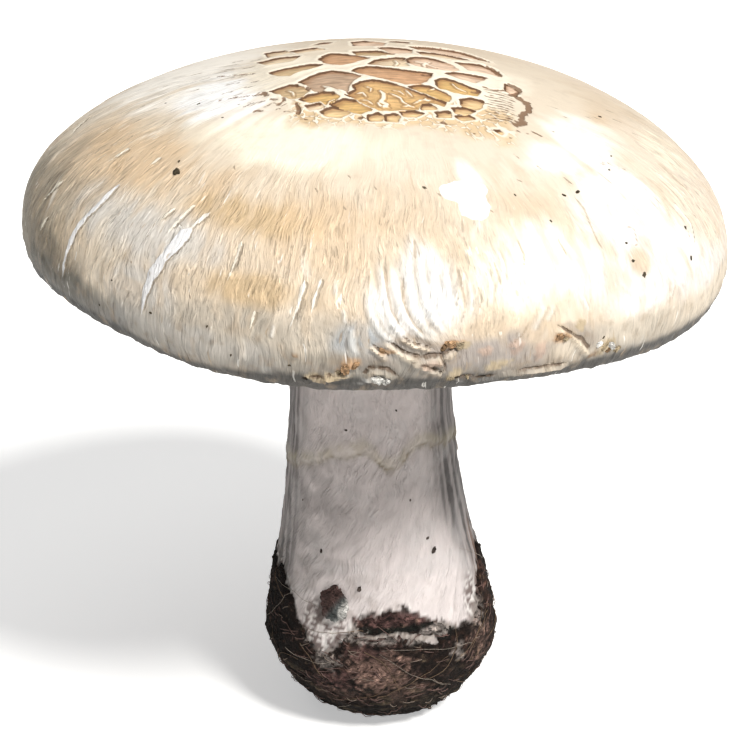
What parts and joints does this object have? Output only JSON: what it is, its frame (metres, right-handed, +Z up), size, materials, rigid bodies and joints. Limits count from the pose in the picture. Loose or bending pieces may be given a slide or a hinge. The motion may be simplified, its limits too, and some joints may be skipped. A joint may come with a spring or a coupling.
{
  "type": "field mushroom",
  "caption": "Whole field mushroom with a broad domed cap, free gills, a stout stem and a bulbous base still carrying soil, standing upright on its base.",
  "frame": {"origin": "centre of the small flat spot under the bulb, which the mushroom stands on", "axes": "+Z up along the stem, +X to the viewer's right, -Y towards the viewer"},
  "size_m": [0.0943, 0.0956, 0.0955],
  "materials": {
    "cap_skin": "dry cream skin, cracked and tan at the crown, with fine fibres, white scars and a grey margin",
    "gill_flesh": "soft pinkish brown gills",
    "stem_skin": "satin white to grey-mauve skin with fine lengthwise fibres and a thin brown ring line",
    "soil": "damp dark brown soil with pale root fibres",
    "clod_soil": "grey-brown soil lump"
  },
  "bodies": {
    "root": {"cap": "cap_skin", "gills": "gill_flesh", "stem": "stem_skin", "soil_crust": "soil", "soil_clod": "clod_soil"}
  },
  "joints": []
}
